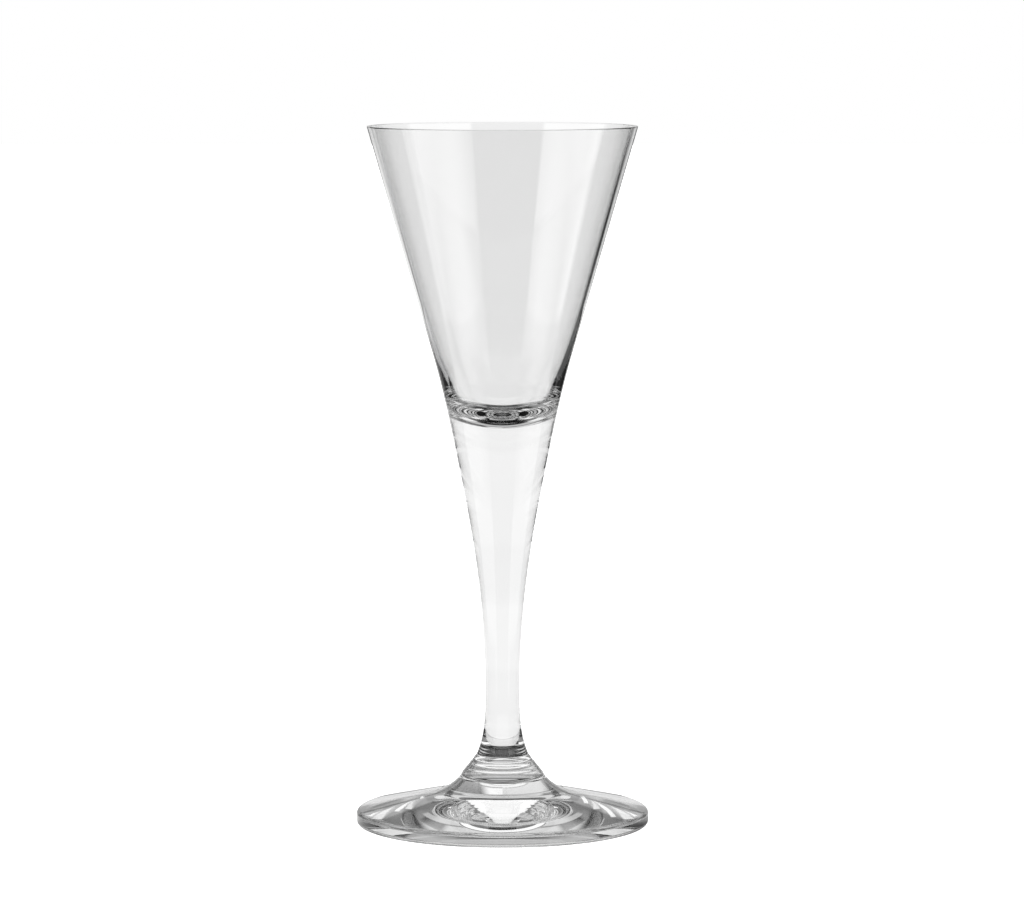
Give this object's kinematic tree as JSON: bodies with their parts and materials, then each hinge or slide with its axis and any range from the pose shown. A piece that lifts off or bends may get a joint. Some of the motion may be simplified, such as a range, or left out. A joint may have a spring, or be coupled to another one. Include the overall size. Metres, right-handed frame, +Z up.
{
  "type": "cordial glass",
  "caption": "Clear cordial glass: straight conical bowl with a thick heel and rounded floor on a solid waisted stem and a round spread foot.",
  "frame": {"origin": "centre of the circle that the foot rests on, at table level", "axes": "+Z up along the glass's axis; X and Y are free because the glass is round, and -Y faces the viewer of the picture"},
  "size_m": [0.0606, 0.0606, 0.1446],
  "materials": {
    "bowl_glass": "clear, fire-polished",
    "stem_glass": "clear, fire-polished",
    "foot_glass": "clear, fire-polished"
  },
  "bodies": {
    "root": {"bowl": "bowl_glass", "stem": "stem_glass", "foot": "foot_glass"}
  },
  "joints": []
}
